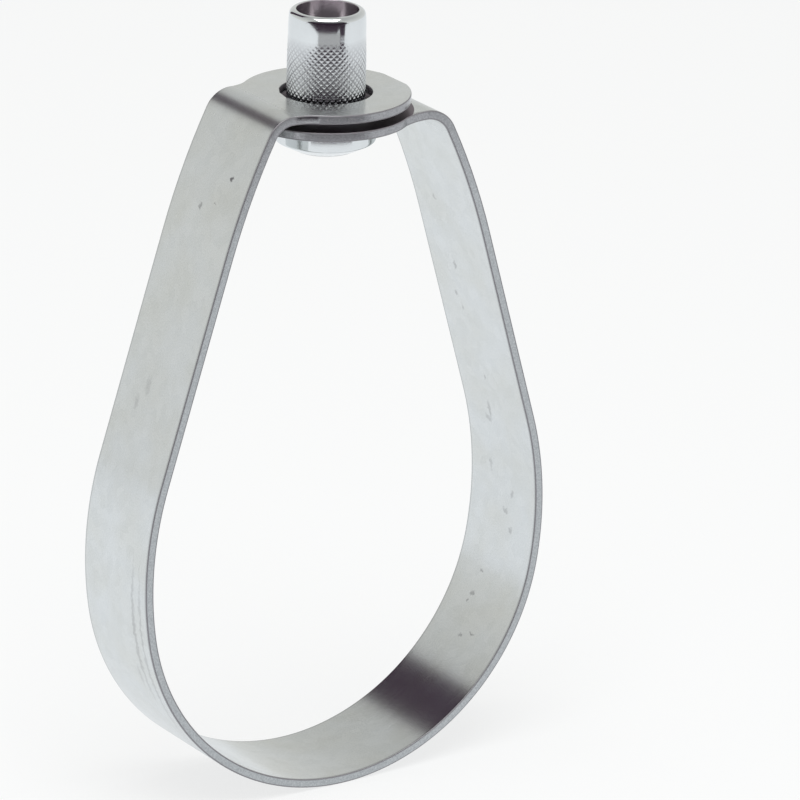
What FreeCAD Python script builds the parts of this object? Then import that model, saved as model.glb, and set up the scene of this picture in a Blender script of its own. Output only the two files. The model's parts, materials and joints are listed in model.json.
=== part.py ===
import FreeCAD, Part
import math
import os

os.makedirs("parts", exist_ok=True)

# Loop pipe hanger: one steel strip bent into a pear-shaped loop, its two ends lapped over each other as
# flat eyes, and a flanged swivel nut that stands in both eyes and screws on to a hanging rod.
# Millimetres. The origin is the pipe's centre, X runs across the loop, Y along the pipe and Z up.

# Strip that the loop is bent from
strip_width = 19.05
strip_thickness = 1.5
edge_break = 0.2

# Pipe and the room for it: a 73.0 pipe lies in the loop's round bottom
pipe_radius = 36.5
pipe_play = 0.5
headroom = 37.55

# Sides of the loop: a flatter arc above the seat, a straight arm and a slight crown under the shoulder
side_bow = 19.6
arm_stand_off = 2.0
crown_radius = 120.0
crown_deg = 10.0

# Flat eyes at the strip's two ends
eye_radius = 13.8
eye_end_trim = 0.4
neck_radius = 10.0
eye_gap = 1.4
left_shoulder_margin = 4.0
right_shoulder_margin = 5.95
left_bend_inner_radius = 3.5
right_bend_inner_radius = 4.5

# Swivel nut, tapped for a 3/8 inch rod with 16 threads to the inch
nut_length = 23.35
nut_radius = 6.3
top_edge_round = 0.9
rim_land = 0.15
tapping_radius = 3.97
thread_major_radius = 4.76
counterbore_play = 0.3
counterbore_depth = 3.5
flange_overlap = 0.75
flange_wall = 3.5
flange_edge_break = 0.5
foot_slope_deg = 27.0
foot_lead = 0.3

# Diamond knurl rolled into the nut's barrel, from just above the lower eye's foot to below the plain rim
knurl_pitch = 1.41
knurl_angle_deg = 45.5
knurl_rise = 0.1
knurl_depth = 0.3
knurl_end_step = 0.03
knurl_top_below_rim = 4.0
knurl_top_fade = 4.5
knurl_foot_above_flange = 0.6
knurl_foot_fade = 1.0

# Running room between the nut and the eyes
hole_play = 1.25
seat_gap = 0.05

# Sizes that follow from the ones above
half_width = strip_width / 2
seat_radius = pipe_radius + pipe_play
loop_radius = seat_radius + strip_thickness
side_radius = loop_radius + side_bow
arm_distance = loop_radius + arm_stand_off
lower_eye_top = seat_radius + headroom + strip_thickness
upper_eye_top = lower_eye_top + eye_gap + strip_thickness
hole_radius = nut_radius + hole_play
flange_radius = hole_radius + flange_overlap


def side_of_loop(shoulder_reach, eye_top, bend_inner_radius):
    """Works out one side of the strip's outer face, drawn towards +X.

    The straight arm's face, run on, meets the eye's top face at the shoulder, and passes the pipe's
    centre at arm_distance. Returns each arc's centre, with the directions where it starts and ends.
    """
    shoulder_distance = math.hypot(shoulder_reach, eye_top)
    arm_lean = math.atan2(eye_top, shoulder_reach) - math.acos(arm_distance / shoulder_distance)
    seat_end = arm_lean + math.asin(1 - arm_stand_off / side_bow) - math.pi / 2
    bend_outer_radius = bend_inner_radius + strip_thickness
    bend_z = eye_top - bend_outer_radius
    crown_turn = math.radians(crown_deg)
    bend_start = arm_lean + crown_turn
    between_centres = crown_radius - bend_outer_radius
    bend_distance = arm_distance - crown_radius + between_centres * math.cos(crown_turn)
    bend_x = (bend_distance - bend_z * math.sin(arm_lean)) / math.cos(arm_lean)
    crown_x = bend_x - between_centres * math.cos(bend_start)
    crown_z = bend_z - between_centres * math.sin(bend_start)
    return {
        "seat_end": seat_end,
        "side_centre": (-side_bow * math.cos(seat_end), -side_bow * math.sin(seat_end)),
        "arm_lean": arm_lean,
        "crown_centre": (crown_x, crown_z),
        "bend_start": bend_start,
        "bend_centre": (bend_x, bend_z),
        "bend_outer_radius": bend_outer_radius,
    }


def point_on(centre, radius, angle, mirror):
    """A point of a side, in the loop's own plane; mirror is 1 on the right and -1 on the left."""
    x = centre[0] + radius * math.cos(angle)
    z = centre[1] + radius * math.sin(angle)
    return FreeCAD.Vector(mirror * x, -half_width, z)


def arc_through(centre, radius, start, end, mirror):
    ends = [point_on(centre, radius, angle, mirror) for angle in (start, (start + end) / 2, end)]
    return Part.Arc(*ends).toShape()


def side_edges(side, depth, mirror):
    """Edges of one side from the seat's end up to the eye, at a depth below the strip's outer face."""
    lean = side["arm_lean"]
    bend_radius = side["bend_outer_radius"] - depth
    arc = arc_through(side["side_centre"], side_radius - depth, side["seat_end"], lean, mirror)
    arm_foot = point_on(side["side_centre"], side_radius - depth, lean, mirror)
    arm_head = point_on(side["crown_centre"], crown_radius - depth, lean, mirror)
    arm = Part.LineSegment(arm_foot, arm_head).toShape()
    crown = arc_through(side["crown_centre"], crown_radius - depth, lean, side["bend_start"], mirror)
    bend = arc_through(side["bend_centre"], bend_radius, side["bend_start"], math.pi / 2, mirror)
    return [arc, arm, crown, bend]


def face_line(left, right, depth):
    """The whole run of one face of the strip, from the left bend's end to the right bend's end."""
    seat_start = point_on((0, 0), loop_radius - depth, left["seat_end"], -1)
    seat_bottom = FreeCAD.Vector(0, -half_width, depth - loop_radius)
    seat_end = point_on((0, 0), loop_radius - depth, right["seat_end"], 1)
    seat = Part.Arc(seat_start, seat_bottom, seat_end).toShape()
    return side_edges(left, depth, -1) + [seat] + side_edges(right, depth, 1)


def bend_end(side, depth, mirror):
    return point_on(side["bend_centre"], side["bend_outer_radius"] - depth, math.pi / 2, mirror)


def loop_strip(left, right):
    """The loop, both arms and both bends: the strip's edge view, drawn out over its width."""
    edges = face_line(left, right, 0) + face_line(left, right, strip_thickness)
    for side, mirror in ((left, -1), (right, 1)):
        outer = bend_end(side, 0, mirror)
        inner = bend_end(side, strip_thickness, mirror)
        edges.append(Part.LineSegment(outer, inner).toShape())
    outline = Part.Wire(Part.__sortEdges__(edges))
    return Part.Face(outline).extrude(FreeCAD.Vector(0, strip_width, 0))


def eye_plate(side, top, mirror):
    """One flat eye round the nut's axis, with its neck back to the bend, lying under the height top."""
    reach = side["bend_centre"][0]
    room = (reach ** 2 / (eye_radius - half_width) - (eye_radius + half_width)) / 2
    neck = min(neck_radius, room)
    neck_x = math.sqrt((eye_radius + neck) ** 2 - (half_width + neck) ** 2)
    neck_y = half_width + neck
    join_angle = math.atan2(neck_y, neck_x)
    end_angle = math.pi - math.acos((eye_radius - eye_end_trim) / eye_radius)

    def place(x, y):
        return FreeCAD.Vector(mirror * x, y, top)

    def on_eye(angle, front):
        return place(eye_radius * math.cos(angle), front * eye_radius * math.sin(angle))

    def neck_point(angle, front):
        return place(neck_x + neck * math.cos(angle), front * (neck_y + neck * math.sin(angle)))

    edges = []
    for front in (-1, 1):
        neck_start = -math.pi / 2
        neck_end = join_angle - math.pi
        neck_points = [neck_point(a, front) for a in (neck_start, (neck_start + neck_end) / 2, neck_end)]
        eye_points = [on_eye(a, front) for a in (join_angle, (join_angle + end_angle) / 2, end_angle)]
        strip_corner = place(reach, front * half_width)
        if strip_corner.distanceToPoint(neck_points[0]) > 1e-6:
            edges.append(Part.LineSegment(strip_corner, neck_points[0]).toShape())
        edges.append(Part.Arc(*neck_points).toShape())
        edges.append(Part.Arc(*eye_points).toShape())
    edges.append(Part.LineSegment(on_eye(end_angle, -1), on_eye(end_angle, 1)).toShape())
    edges.append(Part.LineSegment(place(reach, -half_width), place(reach, half_width)).toShape())
    outline = Part.Wire(Part.__sortEdges__(edges))
    return Part.Face(outline).extrude(FreeCAD.Vector(0, 0, -strip_thickness))


def sheared_edges(solid):
    """The sharp edges that run along the strip: they turn a square corner and are longer than its wall."""
    found = []
    for edge in solid.Edges:
        if edge.Length < 2 * strip_thickness:
            continue
        middle = edge.valueAt((edge.FirstParameter + edge.LastParameter) / 2)
        normals = []
        for face in solid.ancestorsOfType(edge, Part.Face):
            u, v = face.Surface.parameter(middle)
            normals.append(face.normalAt(u, v))
        if len(normals) == 2 and abs(normals[0].dot(normals[1])) < 0.5:
            found.append(edge)
    return found


def ring_band():
    left = side_of_loop(eye_radius + left_shoulder_margin, upper_eye_top, left_bend_inner_radius)
    right = side_of_loop(eye_radius + right_shoulder_margin, lower_eye_top, right_bend_inner_radius)
    band = loop_strip(left, right)
    band = band.fuse([eye_plate(left, upper_eye_top, -1), eye_plate(right, lower_eye_top, 1)])
    band = band.removeSplitter()
    band = band.makeChamfer(edge_break, sheared_edges(band.Solids[0]))
    punch_foot = FreeCAD.Vector(0, 0, lower_eye_top - 2 * strip_thickness)
    punch_length = upper_eye_top - lower_eye_top + 3 * strip_thickness
    punch = Part.makeCylinder(hole_radius, punch_length, punch_foot)
    return band.cut(punch).Solids[0]


def knurl_facets(foot, top):
    """The diamond knurl as flat facets, with its first and last rows just below the smooth barrel.

    Crests and groove crossings take turns on a grid round the barrel, and grooves join the crossings.
    The pitch is square to the grooves, and the pattern grows shallower towards both ends.
    """
    knurl_angle = math.radians(knurl_angle_deg)
    starts = round(2 * math.pi * nut_radius * math.sin(knurl_angle) / knurl_pitch)
    rows = round(2 * (top - foot) * math.cos(knurl_angle) / knurl_pitch)

    def grid_point(column, row):
        z = foot + (top - foot) * row / rows
        share = min(1, (z - foot) / knurl_foot_fade, (top - z) / knurl_top_fade)
        lift = knurl_rise if (column + row) % 2 else knurl_rise - knurl_depth
        radius = nut_radius - knurl_end_step + share * lift
        angle = math.pi * (column % (2 * starts)) / starts
        return FreeCAD.Vector(radius * math.cos(angle), radius * math.sin(angle), z)

    facets = []
    for row in range(rows):
        for column in range(2 * starts):
            a = grid_point(column, row)
            b = grid_point(column + 1, row)
            c = grid_point(column + 1, row + 1)
            d = grid_point(column, row + 1)
            halves = ((a, b, d), (b, c, d)) if (column + row) % 2 else ((a, b, c), (a, c, d))
            facets += [Part.Face(Part.makePolygon([p, q, r, p])) for p, q, r in halves]
    for row in (0, rows):
        edge = [grid_point(column, row) for column in range(2 * starts + 1)]
        rim = Part.Wire(Part.makeCircle(nut_radius, FreeCAD.Vector(0, 0, edge[0].z)))
        facets.append(Part.makeFace([rim, Part.makePolygon(edge)], "Part::FaceMakerBullseye"))
    return facets


def swivel_nut():
    """The nut is turned: a half section spun round the hanging axis, closed by the rolled knurl."""
    seat = lower_eye_top - strip_thickness - seat_gap
    rim_foot = seat - flange_wall
    foot_mouth = thread_major_radius + foot_lead
    foot = rim_foot - (flange_radius - foot_mouth) * math.tan(math.radians(foot_slope_deg))
    rim = foot + nut_length
    counterbore_radius = thread_major_radius + counterbore_play
    counterbore_floor = rim - counterbore_depth
    top_round = min(top_edge_round, nut_radius - counterbore_radius - rim_land)
    knurl_foot = seat + knurl_foot_above_flange
    knurl_top = rim - knurl_top_below_rim
    foot_break = flange_edge_break * math.tan(math.radians(foot_slope_deg))
    corners = [
        (nut_radius, knurl_foot),
        (nut_radius, seat),
        (flange_radius, seat),
        (flange_radius, rim_foot + flange_edge_break),
        (flange_radius - flange_edge_break, rim_foot - foot_break),
        (foot_mouth, foot),
        (tapping_radius, foot + foot_mouth - tapping_radius),
        (tapping_radius, counterbore_floor - (counterbore_radius - tapping_radius)),
        (counterbore_radius, counterbore_floor),
        (counterbore_radius, rim),
        (nut_radius - top_round, rim),
    ]
    points = [FreeCAD.Vector(r, 0, z) for r, z in corners]
    edges = [Part.LineSegment(p, q).toShape() for p, q in zip(points, points[1:])]
    round_end = FreeCAD.Vector(nut_radius, 0, rim - top_round)
    round_share = top_round * (1 - math.sqrt(0.5))
    round_middle = FreeCAD.Vector(nut_radius - round_share, 0, rim - round_share)
    edges.append(Part.Arc(points[-1], round_middle, round_end).toShape())
    edges.append(Part.LineSegment(round_end, FreeCAD.Vector(nut_radius, 0, knurl_top)).toShape())
    turned = [edge.revolve(FreeCAD.Vector(0, 0, 0), FreeCAD.Vector(0, 0, 1), 360) for edge in edges]
    shell = Part.makeShell(turned + knurl_facets(knurl_foot, knurl_top))
    shell.sewShape()
    return Part.makeSolid(shell)


for node, make in (("ring_band", ring_band), ("swivel_nut", swivel_nut)):
    piece = make()
    piece.exportStep("parts/" + node + ".step")
    print(node, "valid", piece.isValid(), "solids", len(piece.Solids), "volume", round(piece.Volume, 1))
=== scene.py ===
import bmesh
import bpy
import json
import math
from mathutils import Matrix, Vector


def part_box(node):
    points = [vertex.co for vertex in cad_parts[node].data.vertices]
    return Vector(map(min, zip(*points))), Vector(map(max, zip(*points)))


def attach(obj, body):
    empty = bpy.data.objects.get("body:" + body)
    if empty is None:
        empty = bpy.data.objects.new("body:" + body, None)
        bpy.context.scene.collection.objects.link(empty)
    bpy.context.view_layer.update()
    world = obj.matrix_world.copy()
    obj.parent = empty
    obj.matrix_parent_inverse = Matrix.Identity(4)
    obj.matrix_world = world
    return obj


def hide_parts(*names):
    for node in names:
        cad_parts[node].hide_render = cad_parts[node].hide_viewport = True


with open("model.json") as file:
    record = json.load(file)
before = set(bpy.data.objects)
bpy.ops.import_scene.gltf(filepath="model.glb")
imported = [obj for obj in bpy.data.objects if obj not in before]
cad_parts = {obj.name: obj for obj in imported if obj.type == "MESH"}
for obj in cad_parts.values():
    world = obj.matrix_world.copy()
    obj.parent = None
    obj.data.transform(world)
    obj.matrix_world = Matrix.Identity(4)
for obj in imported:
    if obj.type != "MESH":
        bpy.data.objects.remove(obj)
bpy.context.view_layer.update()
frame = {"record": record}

# Ring band: one strip of pre-galvanised sheet steel, slit to width and blanked with an eye at each end.
# The eyes are punched, then the blank is rolled and folded so that they lie flat over each other.
mm = 0.001
mounts = {mount["name"]: mount for mount in frame["record"]["mounts"]}
band_low, band_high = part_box("ring_band")
seat_radius = mounts["pipe_seat"]["dims"]["r_mm"] * mm
loop_radius = -band_low.z
strip_thickness = loop_radius - seat_radius
strip_width = 19.05 * mm
half_width = strip_width / 2
side_bow = 19.6 * mm
side_radius = loop_radius + side_bow
arm_stand_off = 2.0 * mm
arm_distance = loop_radius + arm_stand_off
crown_radius = 120.0 * mm
crown_turn = math.radians(10)
eye_radius = band_high.y
eye_end_trim = 0.4 * mm
neck_radius = 10.0 * mm
hole_radius = 7.55 * mm
edge_round = 0.15 * mm
upper_eye_top = band_high.z
lower_eye_top = 76.05 * mm
left_shoulder = {
    "reach": eye_radius + 4.0 * mm,
    "eye_top": upper_eye_top,
    "bend_radius": 3.5 * mm + strip_thickness,
}
right_shoulder = {
    "reach": eye_radius + 5.95 * mm,
    "eye_top": lower_eye_top,
    "bend_radius": 4.5 * mm + strip_thickness,
}


def folded_side(reach, eye_top, bend_radius):
    """The runs of one side's outer face, from the loop's lowest point to the eye, drawn towards +X.

    Each run is its shape, its length, its start or its arc's centre, its radius, None if straight, and the
    angle of its outward normal where it starts.
    """
    lean = math.atan2(eye_top, reach) - math.acos(arm_distance / math.hypot(reach, eye_top))
    seat_end = lean + math.asin(1 - arm_stand_off / side_bow) - math.pi / 2
    side_centre = Vector((-side_bow * math.cos(seat_end), -side_bow * math.sin(seat_end)))
    bend_start = lean + crown_turn
    bend_z = eye_top - bend_radius
    between_centres = crown_radius - bend_radius
    bend_distance = arm_distance - crown_radius + between_centres * math.cos(crown_turn)
    bend_x = (bend_distance - bend_z * math.sin(lean)) / math.cos(lean)
    bend_centre = Vector((bend_x, bend_z))
    crown_centre = bend_centre - between_centres * Vector((math.cos(bend_start), math.sin(bend_start)))
    arm_normal = Vector((math.cos(lean), math.sin(lean)))
    arm_length = (crown_centre + arm_normal * crown_radius - side_centre - arm_normal * side_radius).length
    return {
        "runs": [
            ("arc", loop_radius * (seat_end + math.pi / 2), Vector((0, 0)), loop_radius, -math.pi / 2),
            ("arc", side_radius * (lean - seat_end), side_centre, side_radius, seat_end),
            ("line", arm_length, side_centre + arm_normal * side_radius, None, lean),
            ("arc", crown_radius * crown_turn, crown_centre, crown_radius, lean),
            ("arc", bend_radius * (math.pi / 2 - bend_start), bend_centre, bend_radius, bend_start),
            ("line", 4 * eye_radius, Vector((bend_x, eye_top)), None, math.pi / 2),
        ],
        "eye_reach": bend_x,
    }


def fold(side, along, depth):
    """Where a point of the flat blank lies once it is folded: (x, z) on this side, under its outer face."""
    for shape, length, start, radius, angle in side["runs"]:
        if along <= length:
            break
        along -= length
    if shape == "arc":
        turned = angle + along / radius
        return start + Vector((math.cos(turned), math.sin(turned))) * (radius - depth)
    outward = Vector((math.cos(angle), math.sin(angle)))
    return start + Vector((-outward.y, outward.x)) * along - outward * depth


def stations(side):
    """Distances along the blank at which its mesh has a row of points, close together where it bends."""
    turn_step = math.radians(1.5)
    shortest_step = 0.25 * mm
    straight_step = 12 * mm
    found = [0.0]
    for shape, length, start, radius, angle in side["runs"][:-1]:
        step = max(turn_step * radius, shortest_step) if shape == "arc" else straight_step
        count = max(1, math.ceil(length / step))
        begin = found[-1]
        found += [begin + length * (k + 1) / count for k in range(count)]
    return found


def neck_of(side):
    """The round neck between strip and eye: its radius and its centre, seen from the hole's centre."""
    room = (side["eye_reach"] ** 2 / (eye_radius - half_width) - (eye_radius + half_width)) / 2
    radius = min(neck_radius, room)
    return radius, math.sqrt((eye_radius + radius) ** 2 - (half_width + radius) ** 2), half_width + radius


def eye_outline(angle, neck):
    """The blank's edge round an eye, seen from the hole's centre; angle 0 looks back along the strip."""
    radius, neck_x, neck_y = neck
    turn = abs((angle + math.pi) % (2 * math.pi) - math.pi)
    ray = Vector((math.cos(turn), math.sin(turn)))
    if turn <= math.atan2(half_width, neck_x):
        return ray * (neck_x / ray.x)
    if turn < math.atan2(neck_y, neck_x):
        middle = Vector((neck_x, neck_y))
        along = ray.dot(middle)
        return ray * (along - math.sqrt(along ** 2 - middle.length_squared + radius ** 2))
    if ray.x * eye_radius < -(eye_radius - eye_end_trim):
        return ray * ((eye_end_trim - eye_radius) / ray.x)
    return ray * eye_radius


def eye_angles(neck):
    """Angles at which an eye's edge has a point: along both necks, round the eye and over its trimmed end."""
    neck_steps, round_steps, end_steps = 14, 60, 3
    radius, neck_x, neck_y = neck
    corner = math.atan2(half_width, neck_x)
    join = math.atan2(neck_y, neck_x)
    trim = math.pi - math.acos((eye_radius - eye_end_trim) / eye_radius)
    half = [corner + (join - corner) * k / neck_steps for k in range(1, neck_steps)]
    half += [join + (trim - join) * k / round_steps for k in range(round_steps + 1)]
    half += [trim + (math.pi - trim) * k / end_steps for k in range(1, end_steps)]
    return half + [math.pi] + [-angle for angle in reversed(half)]


def add_eye(mesh, mirror, side, last_row):
    """An eye with its punched hole, which takes over where the strip's last row of points ends."""
    eye_at = mirror * side["eye_at"]
    neck = neck_of(side)
    outer = []
    for angle in eye_angles(neck):
        edge = eye_outline(angle, neck)
        across = edge.y if angle > 0 else -edge.y
        outer.append(mesh.verts.new((eye_at - mirror * edge.x, across, 0)))
    ring = outer + last_row
    centre = Vector((eye_at, 0, 0))
    hole = [mesh.verts.new(centre + (vert.co - centre).normalized() * hole_radius) for vert in ring]
    for k, vert in enumerate(ring):
        after = (k + 1) % len(ring)
        mesh.faces.new((vert, ring[after], hole[after], hole[k]))


def flat_blank(sides):
    """The blank before it is folded, as one closed mesh: x along the strip, y across it, z its depth."""
    mesh = bmesh.new()
    rows = [half_width * share for share in (-1, -0.5, 0, 0.5, 1)]
    along = []
    for mirror, side in sides.items():
        found = stations(side)
        side["eye_at"] = found[-1] + side["eye_reach"]
        found.append(side["eye_at"] - neck_of(side)[1])
        along += [mirror * place for place in found]
    grid = [[mesh.verts.new((place, row, 0)) for row in rows] for place in sorted(set(along))]
    for one, other in zip(grid, grid[1:]):
        for k in range(len(rows) - 1):
            mesh.faces.new((one[k], other[k], other[k + 1], one[k + 1]))
    add_eye(mesh, -1, sides[-1], grid[0])
    add_eye(mesh, 1, sides[1], grid[-1])
    bmesh.ops.recalc_face_normals(mesh, faces=mesh.faces)
    if mesh.faces[0].normal.z < 0:
        bmesh.ops.reverse_faces(mesh, faces=mesh.faces)
    made = bmesh.ops.extrude_face_region(mesh, geom=mesh.faces[:])
    for part in made["geom"]:
        if isinstance(part, bmesh.types.BMVert):
            part.co.z = -strip_thickness
    bmesh.ops.recalc_face_normals(mesh, faces=mesh.faces)
    square = [edge for edge in mesh.edges if len(edge.link_faces) == 2 and edge.calc_face_angle() > 1]
    bmesh.ops.bevel(mesh, geom=square, offset=edge_round, segments=3, profile=0.5, affect="EDGES")
    return mesh


def ring_band():
    """Folds the flat blank, and keeps each point's place on it for the finish: along, across and depth."""
    sides = {-1: folded_side(**left_shoulder), 1: folded_side(**right_shoulder)}
    blank = flat_blank(sides)
    flat = blank.verts.layers.float_vector.new("blank")
    for vert in blank.verts:
        along, across, depth = vert.co
        vert[flat] = (along, across, depth)
        mirror = 1 if along >= 0 else -1
        x, z = fold(sides[mirror], abs(along), -depth)
        vert.co = (mirror * x, across, z)
    bmesh.ops.recalc_face_normals(blank, faces=blank.faces)
    data = bpy.data.meshes.new("strip_band")
    blank.to_mesh(data)
    blank.free()
    data.shade_smooth()
    piece = bpy.data.objects.new("strip_band", data)
    bpy.context.collection.objects.link(piece)
    piece.modifiers.new("flat_faces", "WEIGHTED_NORMAL").weight = 100
    return piece


def linear(hex_colour):
    """An sRGB hex colour as the linear colour that the shaders take."""
    parts = [int(hex_colour[k : k + 2], 16) / 255 for k in (1, 3, 5)]
    return [p / 12.92 if p <= 0.04045 else ((p + 0.055) / 1.055) ** 2.4 for p in parts] + [1]


def add_node(tree, kind, inputs=None, **settings):
    """Adds one node. Each of its inputs, by name or number, is a socket to link from or a value to set."""
    node = tree.nodes.new("ShaderNode" + kind)
    for name, value in settings.items():
        setattr(node, name, value)
    for name, source in (inputs or {}).items():
        if isinstance(source, bpy.types.NodeSocket):
            tree.links.new(source, node.inputs[name])
        else:
            node.inputs[name].default_value = source
    return node


def new_material(name):
    material = bpy.data.materials.new(name)
    material.use_nodes = True
    material.node_tree.nodes.clear()
    return material, material.node_tree


# Scuffs and stains from handling, each with its place along and across the blank, its face, its reach along
# and across, in millimetres, and its strength. The left arm's places are negative.
handling_marks = [
    (-131.6, -4.3, "outer", 0.45, 0.4, 0.85),
    (-125.6, 1.3, "outer", 0.7, 0.45, 0.45),
    (-126.8, -2.3, "outer", 0.3, 0.3, 0.5),
    (-95.0, 1.5, "outer", 2.0, 0.9, 0.16),
    (-91.5, 3.4, "outer", 1.5, 0.7, 0.18),
    (-54.0, -5.3, "outer", 16.0, 0.5, 0.26),
    (-50.0, -7.4, "outer", 20.0, 0.45, 0.22),
    (-46.0, -3.6, "outer", 2.6, 0.7, 0.16),
    (48.4, 2.5, "inner", 0.5, 0.55, 0.4),
    (44.0, 2.9, "inner", 0.5, 0.7, 0.4),
    (42.4, 3.3, "inner", 0.45, 0.5, 0.4),
    (37.6, -1.5, "inner", 0.4, 0.8, 0.45),
    (36.4, 0.9, "inner", 0.35, 0.6, 0.4),
    (78.4, 2.1, "inner", 2.2, 0.5, 0.26),
    (76.5, 3.2, "inner", 0.8, 1.1, 0.24),
    (85.0, 1.2, "inner", 0.7, 0.5, 0.28),
    (98.0, 3.0, "inner", 0.7, 0.4, 0.28),
    (100.5, 3.8, "inner", 0.9, 0.35, 0.28),
    (106.4, 2.1, "inner", 1.1, 0.5, 0.34),
    (119.0, 3.4, "inner", 0.8, 0.6, 0.24),
    (57.5, -3.0, "inner", 0.7, 0.6, 0.3),
    (60.5, -1.0, "inner", 0.6, 0.9, 0.28),
    (64.0, -2.6, "inner", 0.9, 0.5, 0.26),
    (67.5, 3.6, "inner", 1.4, 0.5, 0.2),
]
mark_wander = 1.6 * mm
mark_raggedness = 0.9 * mm
mark_depth = 0.3 * mm
strip_end = 146 * mm
cloud_width = 9 * mm
spangle_width = 1.6 * mm
grain_width = 0.3 * mm
rolling_line = 0.5 * mm


def zinc_skin(tree, place, grain):
    """The bare zinc's colour: cloudy patches, small spangles and a grain drawn coarser than the real one."""
    cloud = add_node(tree, "TexNoise", {"Vector": place, "Scale": 1 / cloud_width, "Detail": 3.0})
    tint = add_node(tree, "MapRange", {"Value": cloud.outputs["Fac"], "From Min": 0.35, "From Max": 0.65})
    tone = add_node(
        tree,
        "Mix",
        {"Factor": tint.outputs["Result"], "A": linear("#D7D9D7"), "B": linear("#DBDEDF")},
        data_type="RGBA",
    )
    spangle = add_node(tree, "TexVoronoi", {"Vector": place, "Scale": 1 / spangle_width}, feature="F1")
    spangle_tone = add_node(tree, "SeparateXYZ", {"Vector": spangle.outputs["Color"]})
    fleck = add_node(
        tree,
        "Mix",
        {"Factor": 0.08, "A": tone.outputs["Result"], "B": spangle_tone.outputs["X"]},
        data_type="RGBA",
        blend_type="SOFT_LIGHT",
    )
    speck = add_node(
        tree,
        "Mix",
        {"Factor": 0.35, "A": fleck.outputs["Result"], "B": grain},
        data_type="RGBA",
        blend_type="SOFT_LIGHT",
    )
    return speck.outputs["Result"]


def marked(tree, place, colour):
    """The colour with the handling marks on it. A noise that averages a half makes their edges ragged."""
    noise = add_node(tree, "TexNoise", {"Vector": place, "Scale": 1 / mark_raggedness, "Detail": 2.0})
    wandered = add_node(
        tree,
        "VectorMath",
        {0: noise.outputs["Color"], 1: (mark_wander, mark_wander, 0), 2: place},
        operation="MULTIPLY_ADD",
    )
    for mark_along, mark_across, face, reach_along, reach_across, strength in handling_marks:
        mark_z = -strip_thickness if face == "inner" else 0
        middle = (mark_along * mm + mark_wander / 2, mark_across * mm + mark_wander / 2, mark_z)
        reach = (reach_along * mm, reach_across * mm, mark_depth)
        offset = add_node(tree, "VectorMath", {0: wandered.outputs[0], 1: middle}, operation="SUBTRACT")
        share = add_node(tree, "VectorMath", {0: offset.outputs[0], 1: reach}, operation="DIVIDE")
        distance = add_node(tree, "VectorMath", {0: share.outputs[0]}, operation="LENGTH")
        mark = add_node(
            tree,
            "MapRange",
            {"Value": distance.outputs["Value"], "From Min": 1.0, "From Max": 0.4, "To Max": strength},
        )
        stained = add_node(
            tree,
            "Mix",
            {"Factor": mark.outputs["Result"], "A": colour, "B": linear("#5E5B60")},
            data_type="RGBA",
        )
        colour = stained.outputs["Result"]
    return colour


def within(tree, value, low, high):
    """A mask that is 1 where the value lies between two limits."""
    inputs = {0: value, 1: (low + high) / 2, 2: (high - low) / 2}
    return add_node(tree, "Math", inputs, operation="COMPARE").outputs[0]


def beside_slits(tree, from_spine, from_middle):
    """A mask of the narrow roll-over along the strip's slit edges, up to the eyes."""
    beside = add_node(
        tree,
        "MapRange",
        {
            "Value": from_spine,
            "From Min": half_width - 0.5 * mm,
            "From Max": half_width - 0.1 * mm,
            "To Max": 0.6,
        },
    )
    on_strip = add_node(tree, "Math", {0: from_middle, 1: strip_end}, operation="LESS_THAN")
    inputs = {0: beside.outputs["Result"], 1: on_strip.outputs[0]}
    return add_node(tree, "Math", inputs, operation="MULTIPLY").outputs[0]


def cut_wall(tree, from_middle, grain):
    """The colour of the sheet's cut walls: torn and grainy, and a little darker round the eyes."""
    to_eye = add_node(
        tree,
        "MapRange",
        {"Value": from_middle, "From Min": strip_end - 24 * mm, "From Max": strip_end - 1 * mm},
    )
    wall = add_node(
        tree,
        "Mix",
        {"Factor": to_eye.outputs["Result"], "A": linear("#B3B6B8"), "B": linear("#A0A0A3")},
        data_type="RGBA",
    )
    torn = add_node(
        tree,
        "Mix",
        {"Factor": 0.7, "A": wall.outputs["Result"], "B": grain},
        data_type="RGBA",
        blend_type="SOFT_LIGHT",
    )
    return torn.outputs["Result"]


def lapped_faces(tree):
    """A mask of the two faces that the eyes turn to each other."""
    place = add_node(tree, "TexCoord").outputs["Object"]
    z = add_node(tree, "SeparateXYZ", {"Vector": place}).outputs["Z"]
    slack = 0.03 * mm
    in_gap = within(tree, z, lower_eye_top - slack, upper_eye_top - strip_thickness + slack)
    eye_middle = (0, 0, lower_eye_top)
    from_axis = add_node(tree, "VectorMath", {0: place, 1: eye_middle}, operation="DISTANCE")
    near = add_node(
        tree, "Math", {0: from_axis.outputs["Value"], 1: eye_radius + 0.5 * mm}, operation="LESS_THAN"
    )
    return add_node(tree, "Math", {0: in_gap, 1: near.outputs[0]}, operation="MULTIPLY").outputs[0]


def crazed_bends(tree, along):
    """Masks of the two tight bends, where folding has crazed the zinc."""
    masks = []
    for mirror, shoulder in ((-1, left_shoulder), (1, right_shoulder)):
        lengths = [length for shape, length, start, radius, angle in folded_side(**shoulder)["runs"]]
        before_bend, half_bend = sum(lengths[:4]), lengths[4] / 2
        bend_middle = mirror * (before_bend + half_bend)
        offset = add_node(tree, "Math", {0: along, 1: bend_middle}, operation="SUBTRACT")
        distance = add_node(tree, "Math", {0: offset.outputs[0]}, operation="ABSOLUTE")
        crazed = add_node(
            tree,
            "MapRange",
            {
                "Value": distance.outputs[0],
                "From Min": half_bend + 1.5 * mm,
                "From Max": half_bend,
                "To Max": 0.7,
            },
        )
        masks.append(crazed.outputs["Result"])
    return masks


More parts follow.
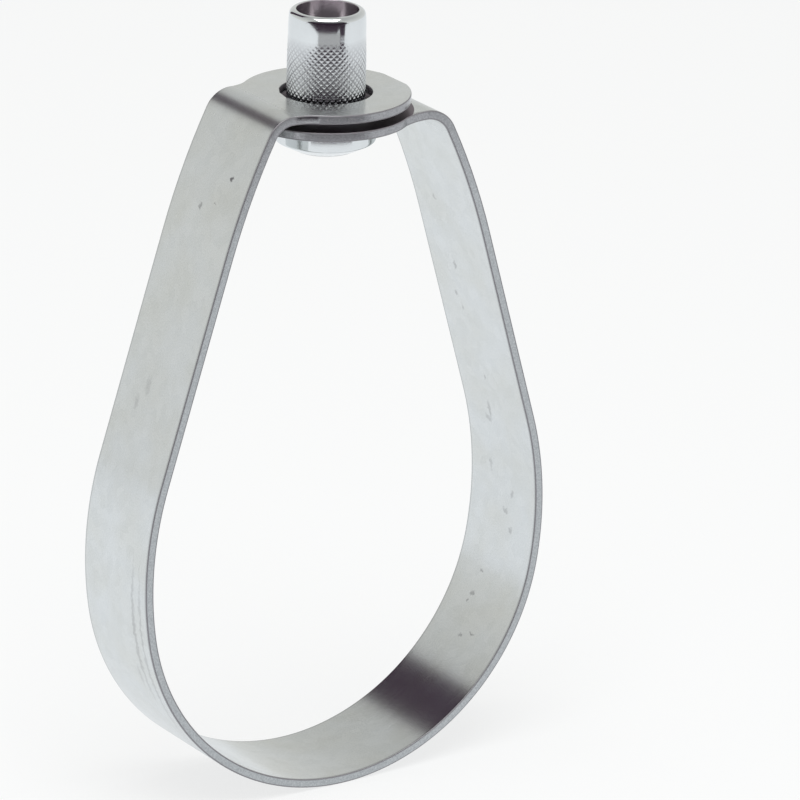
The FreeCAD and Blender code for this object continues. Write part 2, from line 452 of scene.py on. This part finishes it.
def galvanised_sheet():
    """Hot-dip galvanised sheet: a dull silver zinc skin with small spangles, faint rolling lines along the
    strip and handling scuffs. It gives blurred grey reflections with a slight bluish cast. The slit edges and
    the punched walls have little zinc: they look greyer, most of all at their arrises. The zinc is crazed and
    dull over the two tight bends. The lapped faces of the eyes are dull, and are painted dark as shade in the
    gap between the eyes."""
    material, tree = new_material("galvanised_sheet")
    place = add_node(tree, "Attribute", attribute_name="blank").outputs["Vector"]
    parts = add_node(tree, "SeparateXYZ", {"Vector": place})
    along, across, depth = parts.outputs["X"], parts.outputs["Y"], parts.outputs["Z"]
    from_spine = add_node(tree, "Math", {0: across}, operation="ABSOLUTE").outputs[0]
    from_middle = add_node(tree, "Math", {0: along}, operation="ABSOLUTE").outputs[0]
    grains = {"Vector": place, "Scale": 1 / grain_width, "Detail": 2.0}
    grain = add_node(tree, "TexNoise", grains).outputs["Fac"]
    drawn_out = add_node(tree, "VectorMath", {0: place, 1: (0.03, 1, 1)}, operation="MULTIPLY")
    rolling = {"Vector": drawn_out.outputs[0], "Scale": 1 / rolling_line, "Detail": 2.0}
    lines = add_node(tree, "TexNoise", rolling).outputs["Fac"]

    # The cut wall takes in both its rounded arrises, and its torn middle shows between them.
    on_wall = within(tree, depth, 0.1 * edge_round - strip_thickness, -0.1 * edge_round)
    between_arrises = within(tree, depth, 1.6 * edge_round - strip_thickness, -1.6 * edge_round)
    lapped = lapped_faces(tree)
    colour = marked(tree, place, zinc_skin(tree, place, grain))
    # The last tint darkens the lapped faces: painted shade in the gap between the eyes.
    for mask, tint in (
        (beside_slits(tree, from_spine, from_middle), linear("#939496")),
        (on_wall, linear("#A3A1A5")),
        (between_arrises, cut_wall(tree, from_middle, grain)),
        (lapped, linear("#6F636C")),
    ):
        layer = add_node(tree, "Mix", {"Factor": mask, "A": colour, "B": tint}, data_type="RGBA")
        colour = layer.outputs["Result"]

    # The lapped faces are rougher by 0.17 than the bare zinc, and the arrises by 2.4 times as much.
    on_arris = add_node(tree, "Math", {0: on_wall, 1: between_arrises}, operation="SUBTRACT")
    blunt = add_node(tree, "Math", {0: on_arris.outputs[0], 1: 2.4}, operation="MULTIPLY").outputs[0]
    for mask in [lapped] + crazed_bends(tree, along):
        blunt = add_node(tree, "Math", {0: blunt, 1: mask}, operation="MAXIMUM").outputs[0]
    sheen = add_node(tree, "MapRange", {"Value": lines, "To Min": 0.16, "To Max": 0.24})
    rough = add_node(tree, "Math", {0: blunt, 1: 0.17, 2: sheen.outputs["Result"]}, operation="MULTIPLY_ADD")
    height = add_node(tree, "Math", {0: grain, 1: lines}, operation="ADD")
    bump = add_node(tree, "Bump", {"Height": height.outputs[0], "Strength": 0.25, "Distance": 0.01 * mm})
    shader = add_node(
        tree,
        "BsdfPrincipled",
        {
            "Base Color": colour,
            "Metallic": 1.0,
            "Roughness": rough.outputs[0],
            "Normal": bump.outputs["Normal"],
        },
    )
    add_node(tree, "OutputMaterial", {"Surface": shader.outputs["BSDF"]})
    return material


band = ring_band()
band.data.materials.append(galvanised_sheet())
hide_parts("ring_band")
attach(band, "band")


# Swivel nut: turned from steel bar and zinc plated. A flange holds it under the lower eye, a barrel with a
# diamond knurl stands up through both eyes, and a 3/8 inch thread with 16 turns to the inch runs through it.
nut_low, nut_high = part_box("swivel_nut")
seat_gap = 0.05 * mm
nut_radius = 6.3 * mm
top_round = 0.9 * mm
top_lead = 2.1 * mm
top_lead_drop = 0.1 * mm
flange_radius = nut_high.x
flange_seat = lower_eye_top - strip_thickness - seat_gap
flange_wall = 3.5 * mm
flange_round = 0.5 * mm
flange_lead = 1.6 * mm
flange_lead_drop = 0.1 * mm
flange_top_round = 0.2 * mm
mouth_round = 0.12 * mm
minor_radius = mounts["rod_thread"]["dims"]["r_mm"] * mm
major_radius = 4.76 * mm
thread_pitch = 25.4 * mm / 16
thread_rows_per_turn = 8
counterbore_radius = major_radius + 0.3 * mm
counterbore_floor = nut_high.z - 3.5 * mm
foot_mouth = major_radius + 0.3 * mm
knurl_foot = flange_seat + 0.6 * mm
knurl_top = nut_high.z - 4.0 * mm
knurl_pitch = 1.41 * mm
knurl_angle = math.radians(45.5)
knurl_starts = round(2 * math.pi * nut_radius * math.sin(knurl_angle) / knurl_pitch)
knurl_rows = round(2 * (knurl_top - knurl_foot) * math.cos(knurl_angle) / knurl_pitch)
knurl_rise = 0.1 * mm
knurl_depth = 0.11 * mm
knurl_track_depth = 0.09 * mm
knurl_top_fade = 4.5 * mm
knurl_foot_fade = 1.0 * mm
knurl_end_gap = 0.2 * mm
groove_steepness = 3.2
knurl_samples = 8
columns = 2 * knurl_starts * knurl_samples


def knurl_radius(column, row):
    """The barrel's radius at a point of the knurl, where grooves run both ways round it as helices.

    p and q count half diamonds round the barrel and up it, and a groove lies where p + q or p - q is even.
    The knurling wheels tracked twice, so that a shallower groove lies midway between each two.
    """
    p, q = column / knurl_samples, row / knurl_samples
    z = knurl_foot + (knurl_top - knurl_foot) * q / knurl_rows
    share = min(1, (z - knurl_foot) / knurl_foot_fade, (knurl_top - z) / knurl_top_fade)
    from_grooves = [abs((w + 1) % 2 - 1) for w in (p + q, p - q)]
    groove = max(0, 1 - min(from_grooves) * groove_steepness)
    track = max(0, 1 - (1 - max(from_grooves)) * groove_steepness)
    cut = max(knurl_depth * groove, knurl_track_depth * track)
    return nut_radius + share * (knurl_rise - cut)


def thread_radius(angle, z):
    """The internal thread: sharp 60 degree grooves, with a flat of a quarter pitch left at the bore."""
    phase = (z / thread_pitch - angle / (2 * math.pi)) % 1
    flank = min(1, max(0, (abs(phase - 0.5) - 0.125) / 0.3125))
    return minor_radius + (major_radius - minor_radius) * flank


def rounded(corner, before, after, radius, count):
    """Points of an arc that rounds one corner of a profile."""
    to_before, to_after = (before - corner).normalized(), (after - corner).normalized()
    half_turn = to_before.angle(to_after) / 2
    reach = radius / math.tan(half_turn)
    centre = corner + (to_before + to_after).normalized() * (radius / math.sin(half_turn))
    start = (corner + to_before * reach - centre).normalized()
    end = (corner + to_after * reach - centre).normalized()
    return [centre + start.slerp(end, k / count) * radius for k in range(count + 1)]


def lead(radius, start, length, drop):
    """Points of a wall that leans in more and more over its last stretch, as polished corners do."""
    steps = 8
    return [Vector((radius - drop * (k / steps) ** 2, start + length * k / steps)) for k in range(steps + 1)]


def outer_profiles():
    """The nut's outline below the knurl and above it. A lead, run on to its corner, drops a bit further."""
    rim = nut_high.z
    foot_corner = Vector((foot_mouth, nut_low.z))
    foot_bore = Vector((minor_radius, nut_low.z + foot_mouth - minor_radius))
    flange_foot = Vector((flange_radius, flange_seat - flange_wall))
    flange_top = Vector((flange_radius - 1.2 * flange_lead_drop, flange_seat))
    barrel_foot = Vector((nut_radius, flange_seat))
    lead_start = flange_seat - flange_top_round - flange_lead
    lower = rounded(foot_corner, foot_bore, flange_foot, mouth_round, 3)
    lower += rounded(flange_foot, foot_corner, flange_top, flange_round, 5)
    lower += lead(flange_radius, lead_start, flange_lead, flange_lead_drop)
    lower += rounded(flange_top, lower[-1], barrel_foot, flange_top_round, 3)[1:]
    lower += [barrel_foot, Vector((nut_radius, knurl_foot - knurl_end_gap))]

    barrel_top = Vector((nut_radius - 1.5 * top_lead_drop, rim))
    mouth = Vector((counterbore_radius, rim))
    bore_top = Vector((counterbore_radius, counterbore_floor))
    upper = [Vector((nut_radius, knurl_top + knurl_end_gap))]
    upper += lead(nut_radius, rim - top_round - top_lead, top_lead, top_lead_drop)
    upper += rounded(barrel_top, upper[-1], mouth, top_round, 9)[1:]
    upper += rounded(mouth, barrel_top, bore_top, mouth_round, 3)
    return lower, upper


def nut_rings():
    """The nut's rings of points, from the foot's mouth round the outside and back down the thread."""
    lower, upper = outer_profiles()
    rings = [[(point.x, point.y)] * columns for point in lower]
    rows = knurl_rows * knurl_samples
    for row in range(rows + 1):
        z = knurl_foot + (knurl_top - knurl_foot) * row / rows
        rings.append([(knurl_radius(column, row), z) for column in range(columns)])
    rings += [[(point.x, point.y)] * columns for point in upper]
    foot = nut_low.z + mouth_round
    thread_rows = math.ceil((counterbore_floor - foot) / (thread_pitch / thread_rows_per_turn))
    for row in range(thread_rows + 1):
        z = counterbore_floor + (foot - counterbore_floor) * row / thread_rows
        cone = max(counterbore_radius - (counterbore_floor - z), foot_mouth - (z - nut_low.z))
        rings.append([(max(cone, thread_radius(2 * math.pi * k / columns, z)), z) for k in range(columns)])
    return rings


def swivel_nut():
    """Joins the rings into one closed skin, from each ring to the next and from the last to the first."""
    rings = nut_rings()
    verts = []
    for ring in rings:
        for column, (radius, z) in enumerate(ring):
            angle = 2 * math.pi * column / columns
            verts.append((radius * math.cos(angle), radius * math.sin(angle), z))
    faces = []
    for row in range(len(rings)):
        below, above = row * columns, (row + 1) % len(rings) * columns
        for column in range(columns):
            after = (column + 1) % columns
            faces.append((below + column, below + after, above + after, above + column))
    data = bpy.data.meshes.new("turned_nut")
    data.from_pydata(verts, [], faces)
    data.validate()
    data.shade_smooth()
    piece = bpy.data.objects.new("turned_nut", data)
    bpy.context.collection.objects.link(piece)
    piece.modifiers.new("flat_faces", "WEIGHTED_NORMAL").weight = 60
    return piece


patch_width = 3 * mm
turning_line = 0.12 * mm
grit_width = 0.3 * mm


def knurl_masks(tree, z, from_axis):
    """Masks of the knurl, which fades out upwards, and of the bottoms of its grooves, where shade is painted.
    """
    knurl_end = {"From Min": knurl_top, "From Max": knurl_top - knurl_top_fade}
    fading = add_node(tree, "MapRange", {"Value": z, **knurl_end})
    above_foot = add_node(tree, "Math", {0: z, 1: knurl_foot}, operation="GREATER_THAN")
    outside = add_node(tree, "Math", {0: from_axis, 1: nut_radius - knurl_depth}, operation="GREATER_THAN")
    knurled = fading.outputs["Result"]
    for mask in (above_foot, outside):
        knurled = add_node(tree, "Math", {0: knurled, 1: mask.outputs[0]}, operation="MULTIPLY").outputs[0]
    groove_wall = {"From Min": nut_radius + 0.6 * knurl_rise, "From Max": nut_radius, "To Max": 0.75}
    low = add_node(tree, "MapRange", {"Value": from_axis, **groove_wall})
    groove_shade = add_node(tree, "Math", {0: low.outputs["Result"], 1: knurled}, operation="MULTIPLY")
    return knurled, groove_shade.outputs[0]


def bright_zinc():
    """Bright zinc plate over turned steel: a clean silver skin, slightly blue, with turning lines drawn a
    little coarser than real ones. The knurl is matt, with painted shade in the bottoms of its grooves, but
    rubbed bright by the eyes. The inside of the bore is painted a little darker, as shade, and its thread is
    dull, where the plating bath hardly reaches."""
    material, tree = new_material("bright_zinc_plate")
    place = add_node(tree, "TexCoord").outputs["Object"]
    z = add_node(tree, "SeparateXYZ", {"Vector": place}).outputs["Z"]
    flat_place = add_node(tree, "VectorMath", {0: place, 1: (1, 1, 0)}, operation="MULTIPLY")
    from_axis = add_node(tree, "VectorMath", {0: flat_place.outputs[0]}, operation="LENGTH").outputs["Value"]
    patches = {"Vector": place, "Scale": 1 / patch_width, "Detail": 3.0}
    cloud = add_node(tree, "TexNoise", patches).outputs["Fac"]
    bore_edge, thread_top = counterbore_radius + 0.05 * mm, counterbore_floor + 0.05 * mm
    # The bore's mask also marks where its inside is painted darker, as shade.
    in_bore = add_node(tree, "Math", {0: from_axis, 1: bore_edge}, operation="LESS_THAN").outputs[0]
    deep = add_node(tree, "Math", {0: z, 1: thread_top}, operation="LESS_THAN")
    threaded = add_node(tree, "Math", {0: in_bore, 1: deep.outputs[0]}, operation="MULTIPLY").outputs[0]
    knurled, groove_shade = knurl_masks(tree, z, from_axis)

    colours = {"Factor": cloud, "A": linear("#DBDEE0"), "B": linear("#E8EBEC")}
    colour = add_node(tree, "Mix", colours, data_type="RGBA").outputs["Result"]
    # Both tints are painted shade: the inside of the bore and the bottoms of the knurl's grooves are drawn
    # darker.
    for mask, tint in ((in_bore, linear("#D0C9CF")), (groove_shade, linear("#77727A"))):
        layer = add_node(tree, "Mix", {"Factor": mask, "A": colour, "B": tint}, data_type="RGBA")
        colour = layer.outputs["Result"]

    rubbed = {"From Min": upper_eye_top + 0.7 * mm, "From Max": upper_eye_top + 2.5 * mm}
    above_eyes = add_node(tree, "MapRange", {"Value": z, **rubbed, "To Min": 0.04, "To Max": 0.25})
    rough = add_node(tree, "MapRange", {"Value": cloud, "To Min": 0.08, "To Max": 0.14}).outputs["Result"]
    for mask, added in ((knurled, above_eyes.outputs["Result"]), (in_bore, 0.06), (threaded, 0.36)):
        rough = add_node(tree, "Math", {0: mask, 1: added, 2: rough}, operation="MULTIPLY_ADD").outputs[0]

    drawn_out = add_node(tree, "VectorMath", {0: place, 1: (0.05, 0.05, 1)}, operation="MULTIPLY")
    turning = {"Vector": drawn_out.outputs[0], "Scale": 1 / turning_line, "Detail": 2.0}
    lines = add_node(tree, "TexNoise", turning).outputs["Fac"]
    grit = add_node(tree, "TexNoise", {"Vector": place, "Scale": 1 / grit_width, "Detail": 2.0})
    pitted = add_node(tree, "Math", {0: grit.outputs["Fac"], 1: knurled}, operation="MULTIPLY")
    height = add_node(tree, "Math", {0: pitted.outputs[0], 1: 6.0, 2: lines}, operation="MULTIPLY_ADD")
    bump = add_node(tree, "Bump", {"Height": height.outputs[0], "Strength": 0.2, "Distance": 0.006 * mm})
    shader = add_node(
        tree,
        "BsdfPrincipled",
        {"Base Color": colour, "Metallic": 1.0, "Roughness": rough, "Normal": bump.outputs["Normal"]},
    )
    add_node(tree, "OutputMaterial", {"Surface": shader.outputs["BSDF"]})
    return material


nut = swivel_nut()
nut.data.materials.append(bright_zinc())
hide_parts("swivel_nut")
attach(nut, "nut")


# Studio: a pale floor under the loop, a pale room that is dimmer overhead, and one large soft lamp. Cards
# that only reflections see give the metal its darks: one behind the loop, three on the floor before it and
# two that stand far off beyond the camera. Their places are in metres.
def plain_surface(name, colour):
    material, tree = new_material(name)
    shader = add_node(tree, "BsdfPrincipled", {"Base Color": linear(colour), "Roughness": 0.9})
    add_node(tree, "OutputMaterial", {"Surface": shader.outputs["BSDF"]})
    return material


def white_floor():
    """A matt white floor, which the camera and the metal see a little paler than its own light makes it."""
    material = plain_surface("matt_white_floor", "#F2F4F5")
    tree = material.node_tree
    lit = tree.nodes["Principled BSDF"].outputs["BSDF"]
    path = add_node(tree, "LightPath")
    from_eye, from_metal = path.outputs["Is Camera Ray"], path.outputs["Is Glossy Ray"]
    whites = {"Factor": from_metal, "A": linear("#FFFFFF"), "B": linear("#F8FBFE")}
    cast = add_node(tree, "Mix", whites, data_type="RGBA")
    glow = add_node(tree, "Emission", {"Color": cast.outputs["Result"], "Strength": 1.0})
    seen = add_node(tree, "Math", {0: from_eye, 1: from_metal}, operation="MAXIMUM")
    share = add_node(tree, "Math", {0: seen.outputs[0], 1: 0.7}, operation="MULTIPLY")
    mixed = add_node(tree, "MixShader", {0: share.outputs[0], 1: lit, 2: glow.outputs["Emission"]})
    tree.links.new(mixed.outputs["Shader"], tree.nodes["Material Output"].inputs["Surface"])
    return material


def stage_card(name, points, faces, material):
    data = bpy.data.meshes.new(name)
    data.from_pydata(points, [], faces)
    data.materials.append(material)
    card = bpy.data.objects.new(name, data)
    bpy.context.collection.objects.link(card)
    return card


camera_azimuth = math.radians(-33.992)
floor_z = band_low.z
floor_reach = 6.0
wall_distance = 2.9
floor_corners = [(x * floor_reach, y * floor_reach, floor_z) for x, y in ((-1, -1), (1, -1), (1, 1), (-1, 1))]
stage_card("floor", floor_corners, [range(4)], white_floor())


def from_camera(degrees, distance, z):
    """A place round the hanging axis, its angle turned from the camera's towards +X."""
    around = camera_azimuth + math.radians(degrees)
    return (distance * math.sin(around), -distance * math.cos(around), z)


def floor_flag(name, near_edge, far, lift, material):
    """A card on the floor, whose near edge passes through these places: (degrees, distance)."""
    widest_step = 4
    places = []
    for (start, near), (end, next_near) in zip(near_edge, near_edge[1:]):
        steps = math.ceil((end - start) / widest_step)
        shares = [k / steps for k in range(steps + 1)]
        places += [(start + (end - start) * share, near + (next_near - near) * share) for share in shares]
    points = [from_camera(degrees, near, floor_z + lift) for degrees, near in places]
    points += [from_camera(degrees, far, floor_z + lift) for degrees, near in places]
    count = len(places)
    faces = [(k, k + 1, k + 1 + count, k + count) for k in range(count - 1)]
    return stage_card(name, points, faces, material)


def wall_flag(name, corners, material):
    """A card that stands far off on the camera's side, with these corners: (degrees, height)."""
    points = [from_camera(degrees, wall_distance, z) for degrees, z in corners]
    return stage_card(name, points, [range(4)], material)


black_card = plain_surface("black_card", "#2B0F2B")
grey_card = plain_surface("grey_card", "#B2B2B4")
dark_grey_card = plain_surface("dark_grey_card", "#5F5B60")
back_y = 0.6
back_corners = [(-0.035, back_y, 0.06), (0.02, back_y, 0.06), (0.03, back_y, 1.05), (-0.55, back_y, 0.9)]
front_edge = [(-64, 1.7), (-46, 0.9), (-28, 0.56), (28, 0.56), (37, 0.7)]
front_edge += [(40, 0.43), (53, 0.43), (55, 1.0), (66, 1.7)]
low_wall_top = 0.3
low_wall = [(-60, floor_z), (62, floor_z), (60, low_wall_top), (-58, low_wall_top)]
high_wall = [(-58, low_wall_top), (60, low_wall_top), (45, 1.7), (-40, 1.7)]
flags = [
    stage_card("back_flag", back_corners, [range(4)], black_card),
    floor_flag("front_flag", front_edge, 3.0, 1.0 * mm, black_card),
    floor_flag("grey_flag", [(-25, 0.392), (41, 0.392)], 0.58, 0.5 * mm, grey_card),
    floor_flag("near_flag", [(-30, 0.345), (64, 0.345)], 0.385, 0.5 * mm, black_card),
    wall_flag("low_flag", low_wall, black_card),
    wall_flag("high_flag", high_wall, dark_grey_card),
]
for flag in flags:
    flag.visible_camera = False
    flag.visible_diffuse = False
    flag.visible_shadow = False

world = bpy.data.worlds.new("pale_room")
world.use_nodes = True
room = world.node_tree
sky = add_node(room, "TexCoord").outputs["Generated"]
height = add_node(room, "SeparateXYZ", {"Vector": sky}).outputs["Z"]
level = add_node(room, "MapRange", {"Value": height, "To Min": 0.79, "To Max": 0.46})
background = room.nodes["Background"]
background.inputs["Color"].default_value = linear("#FEFFFC")
room.links.new(level.outputs["Result"], background.inputs["Strength"])
bpy.context.scene.world = world

lamp_data = bpy.data.lights.new("overhead_softbox", "AREA")
lamp_data.shape = "RECTANGLE"
lamp_data.size = 0.9
lamp_data.size_y = 0.9
lamp_data.energy = 8
lamp = bpy.data.objects.new("overhead_softbox", lamp_data)
lamp.location = (-0.2, -0.3, 1.1)
lamp.rotation_euler = Vector(lamp.location).to_track_quat("Z", "Y").to_euler()
bpy.context.collection.objects.link(lamp)

camera_elevation = math.radians(19.702)
camera_roll = math.radians(1.502)
camera_distance = 1122.5 * mm
camera_target = Vector((15.958, 0, 23.167)) * mm
back = Vector(
    (
        math.sin(camera_azimuth) * math.cos(camera_elevation),
        -math.cos(camera_azimuth) * math.cos(camera_elevation),
        math.sin(camera_elevation),
    )
)
camera_data = bpy.data.cameras.new("camera")
camera_data.sensor_width = 36
camera_data.lens = 306.1
camera_data.clip_start = 0.05
camera = bpy.data.objects.new("camera", camera_data)
camera.location = camera_target + back * camera_distance
upright = back.to_track_quat("Z", "Y")
camera.rotation_euler = (upright.to_matrix() @ Matrix.Rotation(camera_roll, 3, "Z")).to_euler()
bpy.context.collection.objects.link(camera)
bpy.context.scene.camera = camera
bpy.context.scene.view_settings.view_transform = "Standard"
